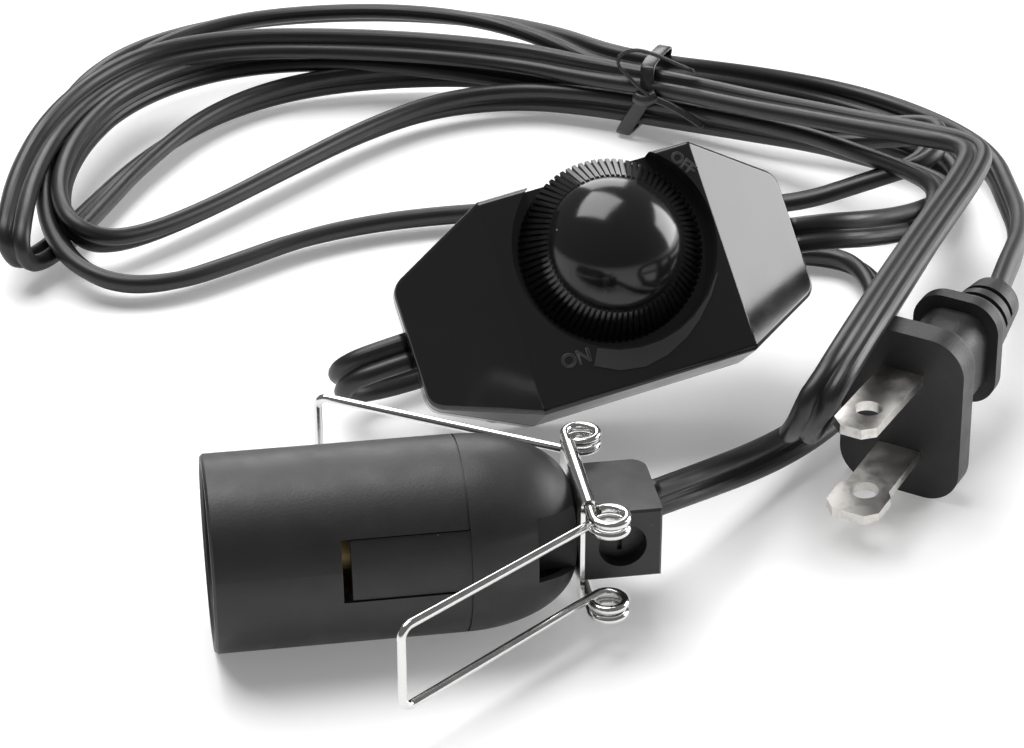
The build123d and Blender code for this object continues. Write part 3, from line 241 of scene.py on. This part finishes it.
def grain_group():
    """Fine moulded grain: a height for a bump and a slow mottle for roughness."""
    group, start, end = new_group(
        "surface_grain",
        [("Vector", "NodeSocketVector", None), ("Grain Scale", "NodeSocketFloat", 4000.0),
         ("Mottle Scale", "NodeSocketFloat", 150.0), ("Low", "NodeSocketFloat", 0.2),
         ("High", "NodeSocketFloat", 0.4)],
        [("Height", "NodeSocketFloat"), ("Roughness", "NodeSocketFloat")])
    fine = inputs(group.nodes.new("ShaderNodeTexNoise"), Detail=3.0, Roughness=0.6)
    slow = inputs(group.nodes.new("ShaderNodeTexNoise"), Detail=4.0, Roughness=0.6)
    spread = group.nodes.new("ShaderNodeMapRange")
    link = group.links.new
    link(start.outputs["Vector"], fine.inputs["Vector"])
    link(start.outputs["Vector"], slow.inputs["Vector"])
    link(start.outputs["Grain Scale"], fine.inputs["Scale"])
    link(start.outputs["Mottle Scale"], slow.inputs["Scale"])
    inputs(spread, From_Min=0.3, From_Max=0.7)
    link(slow.outputs["Fac"], spread.inputs["Value"])
    link(start.outputs["Low"], spread.inputs["To Min"])
    link(start.outputs["High"], spread.inputs["To Max"])
    link(fine.outputs["Fac"], end.inputs["Height"])
    link(spread.outputs["Result"], end.inputs["Roughness"])
    return group


def dust_group():
    """Sparse pale specks of dust, as a mask."""
    group, start, end = new_group(
        "dust_specks",
        [("Vector", "NodeSocketVector", None), ("Scale", "NodeSocketFloat", 420.0),
         ("Size", "NodeSocketFloat", 0.06)],
        [("Mask", "NodeSocketFloat")])
    cells = group.nodes.new("ShaderNodeTexVoronoi")
    near = sum_node(group.nodes, "LESS_THAN")
    patch = inputs(group.nodes.new("ShaderNodeTexNoise"), Scale=90.0, Detail=2.0)
    some = sum_node(group.nodes, "GREATER_THAN", DUST_LEVEL)
    both = sum_node(group.nodes, "MULTIPLY")
    link = group.links.new
    link(start.outputs["Vector"], cells.inputs["Vector"])
    link(start.outputs["Scale"], cells.inputs["Scale"])
    link(cells.outputs["Distance"], near.inputs[0])
    link(start.outputs["Size"], near.inputs[1])
    link(start.outputs["Vector"], patch.inputs["Vector"])
    link(patch.outputs["Fac"], some.inputs[0])
    link(near.outputs[0], both.inputs[0])
    link(some.outputs[0], both.inputs[1])
    link(both.outputs[0], end.inputs["Mask"])
    return group


GRAIN = grain_group()
DUST = dust_group()
finishes = {}


class Finish:
    """A material in the making, whose patterns follow the object's own coordinates."""

    def __init__(self, name, colour, metallic=0.0):
        self.material = bpy.data.materials.new(name)
        self.material.use_nodes = True
        self.nodes = self.material.node_tree.nodes
        self.link = self.material.node_tree.links.new
        self.shader = self.nodes["Principled BSDF"]
        self.colour = colour
        inputs(self.shader, Base_Color=(*colour, 1.0), Metallic=metallic)
        self.place = self.nodes.new("ShaderNodeTexCoord").outputs["Object"]
        self.heights = []

    def grain(self, scale, mottle, low, high, strength):
        """Roughness between low and high, and fine bumps of the given strength."""
        node = self.nodes.new("ShaderNodeGroup")
        node.node_tree = GRAIN
        inputs(node, Grain_Scale=scale, Mottle_Scale=mottle, Low=low, High=high)
        self.link(self.place, node.inputs["Vector"])
        self.link(node.outputs["Roughness"], self.shader.inputs["Roughness"])
        self.bump(node.outputs["Height"], strength)
        return self

    def bump(self, height, strength, distance=0.0001):
        """Adds a bump, on top of any that came before."""
        node = inputs(self.nodes.new("ShaderNodeBump"), Strength=strength, Distance=distance)
        self.link(height, node.inputs["Height"])
        if self.heights:
            self.link(self.heights[-1], node.inputs["Normal"])
        self.heights.append(node.outputs["Normal"])
        self.link(node.outputs["Normal"], self.shader.inputs["Normal"])

    def dust(self, scale, size):
        """Pale specks over the base colour."""
        node = self.nodes.new("ShaderNodeGroup")
        node.node_tree = DUST
        inputs(node, Scale=scale, Size=size)
        self.link(self.place, node.inputs["Vector"])
        return self.mix(node.outputs["Mask"], self.colour, DUST_COLOUR)

    def mix(self, factor, first, second):
        """The base colour goes from the first colour to the second by a mask."""
        node = self.nodes.new("ShaderNodeMix")
        node.data_type = "RGBA"
        node.inputs["A"].default_value = (*first, 1.0)
        node.inputs["B"].default_value = (*second, 1.0)
        self.link(factor, node.inputs["Factor"])
        self.link(node.outputs["Result"], self.shader.inputs["Base Color"])
        return self


def gloss_black(name, colour):
    """The glossy black moulding of the dimmer's housing and its knob."""
    return Finish(name, colour).grain(2600.0, 140.0, 0.1, 0.2, 0.05).dust(300.0, 0.04).material


def satin_black(name, colour, grain=3200.0, low=0.38, high=0.52, strength=0.25):
    """Black moulding with a fine matt grain, as on the lampholder and the plug."""
    return Finish(name, colour).grain(grain, 200.0, low, high, strength).dust(420.0, 0.03).material


def plated(name, colour, low, high, stain=None):
    """Bright plated metal with a faint mottle, and darker stains if a colour is given."""
    made = Finish(name, colour, metallic=1.0).grain(1800.0, 420.0, low, high, 0.12)
    if stain:
        noise = inputs(made.nodes.new("ShaderNodeTexNoise"), Scale=380.0, Detail=6.0, Roughness=0.65)
        made.link(made.place, noise.inputs["Vector"])
        ramp = inputs(made.nodes.new("ShaderNodeMapRange"), From_Min=0.48, From_Max=0.66)
        made.link(noise.outputs["Fac"], ramp.inputs["Value"])
        made.mix(ramp.outputs["Result"], colour, stain)
    return made.material


def plain(name, colour, metallic=0.0, low=0.35, high=0.55):
    """A part inside the housings, with a light grain."""
    return Finish(name, colour, metallic).grain(2000.0, 300.0, low, high, 0.2).material


def cord_skin(name, colour):
    """Soft insulation with a low sheen, fine ribs along one conductor and a smooth other one.
    The UV map has the way round the section as U and the way along in metres as V."""
    made = Finish(name, colour).grain(2200.0, 90.0, 0.34, 0.46, 0.12)
    uv = made.nodes.new("ShaderNodeUVMap")
    split = made.nodes.new("ShaderNodeSeparateXYZ")
    made.link(uv.outputs["UV"], split.inputs["Vector"])
    wave = sum_node(made.nodes, "MULTIPLY", 2 * math.pi * RIBS_ROUND)
    made.link(split.outputs["X"], wave.inputs[0])
    sine = sum_node(made.nodes, "SINE")
    made.link(wave.outputs[0], sine.inputs[0])
    half = sum_node(made.nodes, "LESS_THAN", RIBBED_SHARE)
    made.link(split.outputs["X"], half.inputs[0])
    ribs = sum_node(made.nodes, "MULTIPLY")
    made.link(sine.outputs[0], ribs.inputs[0])
    made.link(half.outputs[0], ribs.inputs[1])
    made.bump(ribs.outputs[0], 0.25, RIB_DEPTH)
    return made.material


def make_finishes(skin):
    """Each material slot of the record with its finish, and one for the raised marks, whose lighter grey
    is a painted highlight.
    """
    black = (0.012, 0.012, 0.013)
    return {
        "housing": gloss_black("housing_black", (0.016, 0.016, 0.017)),
        # The raised marks are a lighter grey than the housing. This is a painted highlight for the light
        # that catches on them.
        "marks": satin_black("mark_painted_highlight", (0.045, 0.045, 0.046), 3000.0, 0.42, 0.55, 0.2),
        "knob": gloss_black("knob_black", black),
        "holder": satin_black("holder_black", (0.022, 0.022, 0.023)),
        "plug": satin_black("plug_black", (0.02, 0.02, 0.021), 2600.0, 0.42, 0.56, 0.6),
        "cord": cord_skin("cord_black", skin),
        "tie": satin_black("tie_black", (0.03, 0.03, 0.031), 4000.0, 0.2, 0.3, 0.1),
        "blade": plated("blade_nickel", (0.72, 0.7, 0.67), 0.28, 0.42, (0.5, 0.48, 0.45)),
        "spring_wire": plated("wire_bright", (0.74, 0.74, 0.73), 0.1, 0.2),
        "brass": plain("contact_brass", (0.5, 0.38, 0.17), 1.0, 0.3, 0.5),
        "steel": plain("screw_steel", (0.6, 0.6, 0.6), 1.0, 0.25, 0.4),
        "heat_sink": plain("sink_aluminium", (0.75, 0.76, 0.77), 1.0, 0.3, 0.45),
        "control_body": plain("can_metal", (0.68, 0.69, 0.7), 1.0, 0.25, 0.4),
        "copper": plain("winding_copper", (0.72, 0.35, 0.16), 1.0, 0.2, 0.35),
        "control_shaft": plain("shaft_plastic", (0.72, 0.7, 0.62)),
        "board": plain("board_phenolic", (0.42, 0.3, 0.12)),
        "capacitor": plain("coating_dipped", (0.55, 0.16, 0.05), 0.0, 0.2, 0.3),
        "component": plain("package_black", (0.03, 0.03, 0.03)),
        "insulator": plain("insulator_pale", (0.75, 0.73, 0.68)),
    }


def link_object(name, mesh):
    """A new object that holds the mesh, in the scene."""
    made = bpy.data.objects.new(name, mesh)
    bpy.context.scene.collection.objects.link(made)
    return made


def line_of(points, steps):
    """Points along the smooth line that a NURBS spline draws from its control points."""
    curve = bpy.data.curves.new("route", "CURVE")
    curve.dimensions = "3D"
    curve.resolution_u = steps
    spline = curve.splines.new("NURBS")
    spline.points.add(len(points) - 1)
    for control, place in zip(spline.points, points):
        control.co = (*place, 1.0)
    spline.order_u = 3
    spline.use_endpoint_u = True
    bare = bpy.data.objects.new("route", curve)
    mesh = bpy.data.meshes.new_from_object(bare)
    line = [v.co.copy() for v in mesh.vertices]
    bpy.data.objects.remove(bare)
    bpy.data.curves.remove(curve)
    bpy.data.meshes.remove(mesh)
    return line


def broad_sides(route):
    """The direction of a flat cord's broad side at each route point, from its angle to the level.
    Where the cord is steep the side stays as it was, and it never flips over between two points."""
    places = [Vector(row[:3]) for row in route]
    sides = []
    for i, row in enumerate(route):
        before, after = places[max(i - 1, 0)], places[min(i + 1, len(places) - 1)]
        along = (after - before).normalized()
        if abs(along.z) < STEEP:
            level = along.cross(Vector((0, 0, 1))).normalized()
            side = Matrix.Rotation(math.radians(row[3]), 3, along) @ level
        else:
            side = sides[-1]
        if sides and side.dot(sides[-1]) < 0:
            side = -side
        sides.append(side.copy())
    return sides


def twin_section(sizes):
    """The flat cord's outline as points across and up: two round conductors with a groove between."""
    radius = sizes.thickness / 2
    reach = sizes.width / 2 - radius
    outline = []
    for side in (1, -1):
        for k in range(ARC_STEPS + 1):
            angle = -sizes.groove_angle + 2 * sizes.groove_angle * k / ARC_STEPS
            outline.append((side * (reach + radius * math.cos(angle)), side * radius * math.sin(angle)))
    return outline


def flat_tube(name, centres, edges, outline):
    """A mesh tube of the outline along the centres, its broad side towards the matching edges."""
    shape = bmesh.new()
    uv = shape.loops.layers.uv.new("UVMap")
    rings = []
    travelled = [0.0]
    for a, b in zip(centres, centres[1:]):
        travelled.append(travelled[-1] + (b - a).length)
    for i, centre in enumerate(centres):
        along = (centres[min(i + 1, len(centres) - 1)] - centres[max(i - 1, 0)]).normalized()
        side = edges[i] - centre
        side = (side - side.dot(along) * along).normalized()
        up = side.cross(along)
        rings.append([shape.verts.new(centre + side * x + up * y) for x, y in outline])
    count = len(outline)
    for i in range(len(rings) - 1):
        for k in range(count):
            turn = (k + 1) % count
            face = shape.faces.new((rings[i][k], rings[i][turn], rings[i + 1][turn], rings[i + 1][k]))
            face.smooth = True
            spots = [(k, i), (k + 1, i), (k + 1, i + 1), (k, i + 1)]
            for loop, (u, v) in zip(face.loops, spots):
                loop[uv].uv = (u / count, travelled[v])
    shape.faces.new(reversed(rings[0]))
    shape.faces.new(rings[-1])
    bmesh.ops.recalc_face_normals(shape, faces=shape.faces[:])
    mesh = bpy.data.meshes.new(name)
    shape.to_mesh(mesh)
    shape.free()
    return link_object(name, mesh)


def make_flat_cord(name, route, sizes):
    """A flat twin cord along its route, and the line that it follows."""
    places = [Vector(row[:3]) * MM for row in route]
    ends = [place + side * sizes.width / 2 for place, side in zip(places, broad_sides(route))]
    line = line_of(places, CORD_STEPS)
    tube = flat_tube(name, line, line_of(ends, CORD_STEPS), twin_section(sizes))
    tube.data.materials.append(finishes["cord"])
    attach(tube, "base")
    return tube, line


class CORDSET_OT_finish_parts(bpy.types.Operator):
    """Gives every carried-over part its finish"""
    bl_idname = "cordset.finish_parts"
    bl_label = "Finish the parts"

    def execute(self, context):
        finishes.update(make_finishes(context.scene.cord_sizes.skin[:]))
        slots = {row["node"]: row["material_slot"] for row in frame["record"]["subparts"]}
        for node, part in frame["nodes"].items():
            part.data.materials.clear()
            part.data.materials.append(finishes[slots[node]])
        return {"FINISHED"}


class CORDSET_OT_lamp_cord(bpy.types.Operator):
    """Lays the cord between the lampholder and the dimmer"""
    bl_idname = "cordset.lamp_cord"
    bl_label = "Lamp cord"

    def execute(self, context):
        sizes = context.scene.cord_sizes
        cord, line = make_flat_cord("lamp_flex", LAMP_ROUTE, sizes)
        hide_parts("lamp_cord")
        return {"FINISHED"}


class CORDSET_OT_supply_cord(bpy.types.Operator):
    """Lays the supply cord through its tied hank to the plug"""
    bl_idname = "cordset.supply_cord"
    bl_label = "Supply cord"

    def execute(self, context):
        sizes = context.scene.cord_sizes
        cord, line = make_flat_cord("supply_flex", SUPPLY_ROUTE, sizes)
        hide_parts("supply_tail", "near_strand", "crossing_loop", "plug_lead", "hank")
        return {"FINISHED"}


def area_light(name, place, target, size, power):
    """A square soft light that shines at a point."""
    light = bpy.data.lights.new(name, "AREA")
    light.size = size
    light.energy = power
    made = bpy.data.objects.new(name, light)
    made.location = place
    made.rotation_euler = (Vector(target) - Vector(place)).to_track_quat("-Z", "Y").to_euler()
    bpy.context.scene.collection.objects.link(made)


def strip_section(width, thickness):
    """The outline of a flat strip with softened edges."""
    half, edge = width / 2, thickness / 2
    return [(half, -edge / 2), (half, edge / 2), (half - edge, edge), (edge - half, edge),
            (-half, edge / 2), (-half, -edge / 2), (edge - half, -edge), (half - edge, -edge)]


class CORDSET_OT_twist_tie(bpy.types.Operator):
    """Lays the twist tie round the hank"""
    bl_idname = "cordset.twist_tie"
    bl_label = "Twist tie"

    def execute(self, context):
        made = []
        for name, route, broad, width, thickness in TIE_PARTS:
            line = line_of([Vector(place) * MM for place in route], TIE_STEPS)
            edges = [place + Vector(broad) * MM for place in line]
            strip = flat_tube(name, line, edges, strip_section(width * MM, thickness * MM))
            strip.data.materials.append(finishes["tie"])
            made.append(strip)
        bpy.ops.object.select_all(action="DESELECT")
        for strip in made:
            strip.select_set(True)
        context.view_layer.objects.active = made[0]
        bpy.ops.object.join()
        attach(made[0], "base")
        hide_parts("twist_tie")
        return {"FINISHED"}


def crown_place(x, y, turn, lift):
    """The place of a mark on the dimmer's crown, from millimetres and degrees in the dimmer's frame."""
    axes = Matrix(DIMMER_AXES).transposed().to_4x4()
    spot = Matrix.Translation((x * MM, y * MM, (CROWN_HEIGHT + lift) * MM))
    local = spot @ Matrix.Rotation(math.radians(turn), 4, "Z")
    return Matrix.Translation(DIMMER_ORIGIN) @ axes @ local


def add_word(name, body, size, place):
    """Outlined raised letters, made a mesh and then placed."""
    bpy.ops.object.select_all(action="DESELECT")
    bpy.ops.object.text_add()
    word = bpy.context.object
    word.name = name
    word.data.body = body
    word.data.size = size
    word.data.align_x = "CENTER"
    word.data.fill_mode = "NONE"
    word.data.bevel_depth = MARK_TUBE
    word.data.bevel_resolution = 2
    word.data.resolution_u = 6
    bpy.ops.object.convert(target="MESH")
    word = bpy.context.object
    word.data.transform(place @ Matrix.Scale(MM, 4))
    word.data.materials.append(finishes["marks"])
    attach(word, "base")


def add_crescent():
    """The raised crescent beside the knob's recess that widens towards the word ON."""
    shape = bmesh.new()
    rims = []
    for rise in (CRESCENT_SINK, CRESCENT_RISE):
        inner, outer = [], []
        for angle, reach in CRESCENT:
            turn = math.radians(angle)
            for radius, rim in ((CRESCENT_INNER, inner), (reach, outer)):
                x = KNOB_CENTRE[0] + radius * math.cos(turn)
                y = KNOB_CENTRE[1] + radius * math.sin(turn)
                rim.append(shape.verts.new(crown_place(x, y, 0, rise).translation))
        rims.append(inner + outer[::-1])
    low, high = rims
    count, half = len(low), len(CRESCENT)
    for k in range(half - 1):
        for rim in rims:
            shape.faces.new((rim[k], rim[k + 1], rim[count - 2 - k], rim[count - 1 - k]))
    for k in range(count):
        turn = (k + 1) % count
        shape.faces.new((low[k], low[turn], high[turn], high[k]))
    bmesh.ops.recalc_face_normals(shape, faces=shape.faces[:])
    mesh = bpy.data.meshes.new("crescent_mark")
    shape.to_mesh(mesh)
    shape.free()
    made = link_object("crescent_mark", mesh)
    made.data.materials.append(finishes["marks"])
    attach(made, "base")


class CORDSET_OT_dimmer_marks(bpy.types.Operator):
    """Adds the words ON and OFF and the crescent between them"""
    bl_idname = "cordset.dimmer_marks"
    bl_label = "Dimmer marks"

    def execute(self, context):
        for name, body, size, (x, y), turn in WORDS:
            add_word(name, body, size, crown_place(x, y, turn, 0.0))
        add_crescent()
        return {"FINISHED"}


class CORDSET_OT_stage(bpy.types.Operator):
    """Sets up the pale table, the soft light and the camera"""
    bl_idname = "cordset.stage"
    bl_label = "Stage"

    def execute(self, context):
        sizes = context.scene.stage_sizes
        bpy.ops.object.select_all(action="DESELECT")
        bpy.ops.mesh.primitive_plane_add(size=6.0, location=(0, 0, 0))
        floor = context.active_object
        floor.name = "table_top"
        made = Finish("table_white", sizes.floor_colour[:]).grain(300.0, 8.0, 0.55, 0.7, 0.02)
        path = made.nodes.new("ShaderNodeLightPath")
        seen = sum_node(made.nodes, "MAXIMUM")
        made.link(path.outputs["Is Camera Ray"], seen.inputs[0])
        made.link(path.outputs["Is Glossy Ray"], seen.inputs[1])
        glow = sum_node(made.nodes, "MULTIPLY", TABLE_GLOW)
        made.link(seen.outputs[0], glow.inputs[0])
        inputs(made.shader, Emission_Color=(1, 1, 1, 1))
        made.link(glow.outputs[0], made.shader.inputs["Emission Strength"])
        floor.data.materials.append(made.material)

        world = bpy.data.worlds.new("studio")
        world.use_nodes = True
        inputs(world.node_tree.nodes["Background"], Color=(1, 1, 1, 1), Strength=0.16)
        context.scene.world = world
        area_light("key_light", (-0.12, 0.30, 0.85), (0.0, 0.03, 0.0), 0.7, sizes.key_power)
        area_light("back_light", (0.45, 0.95, 0.55), (0.0, 0.0, 0.0), 0.6, 4.0)
        area_light("right_light", (0.79, -0.077, 0.232), (0.0, 0.0, 0.02), 0.5, 5.5)

        lens = bpy.data.cameras.new("camera")
        lens.lens = sizes.lens
        lens.sensor_width = 36.0
        lens.clip_start = 0.01
        camera = bpy.data.objects.new("camera", lens)
        camera.location = CAMERA_PLACE
        camera.rotation_euler = Vector(CAMERA_AIM).to_track_quat("-Z", "Y").to_euler()
        context.scene.collection.objects.link(camera)
        context.scene.camera = camera
        context.scene.view_settings.view_transform = "Standard"
        return {"FINISHED"}


class CORDSET_PT_panel(bpy.types.Panel):
    """Lists the sizes and the pieces"""
    bl_idname = "CORDSET_PT_panel"
    bl_label = "Cord dimmer"
    bl_space_type = "VIEW_3D"
    bl_region_type = "UI"
    bl_category = "Cord Dimmer"

    def draw(self, context):
        for group in (context.scene.cord_sizes, context.scene.stage_sizes):
            for name in group.__annotations__:
                self.layout.prop(group, name)
        for operator in OPERATORS:
            self.layout.operator(operator.bl_idname)


OPERATORS = (CORDSET_OT_finish_parts, CORDSET_OT_lamp_cord, CORDSET_OT_supply_cord, CORDSET_OT_twist_tie,
             CORDSET_OT_dimmer_marks, CORDSET_OT_stage)
CLASSES = (CordSizes, StageSizes, *OPERATORS, CORDSET_PT_panel)


def register():
    for kind in CLASSES:
        bpy.utils.register_class(kind)
    bpy.types.Scene.cord_sizes = bpy.props.PointerProperty(type=CordSizes)
    bpy.types.Scene.stage_sizes = bpy.props.PointerProperty(type=StageSizes)


def unregister():
    del bpy.types.Scene.stage_sizes
    del bpy.types.Scene.cord_sizes
    for kind in reversed(CLASSES):
        bpy.utils.unregister_class(kind)


def main():
    register()
    bpy.ops.cordset.finish_parts()
    bpy.ops.cordset.lamp_cord()
    bpy.ops.cordset.supply_cord()
    bpy.ops.cordset.twist_tie()
    bpy.ops.cordset.dimmer_marks()
    bpy.ops.cordset.stage()


if __name__ == "__main__":
    main()
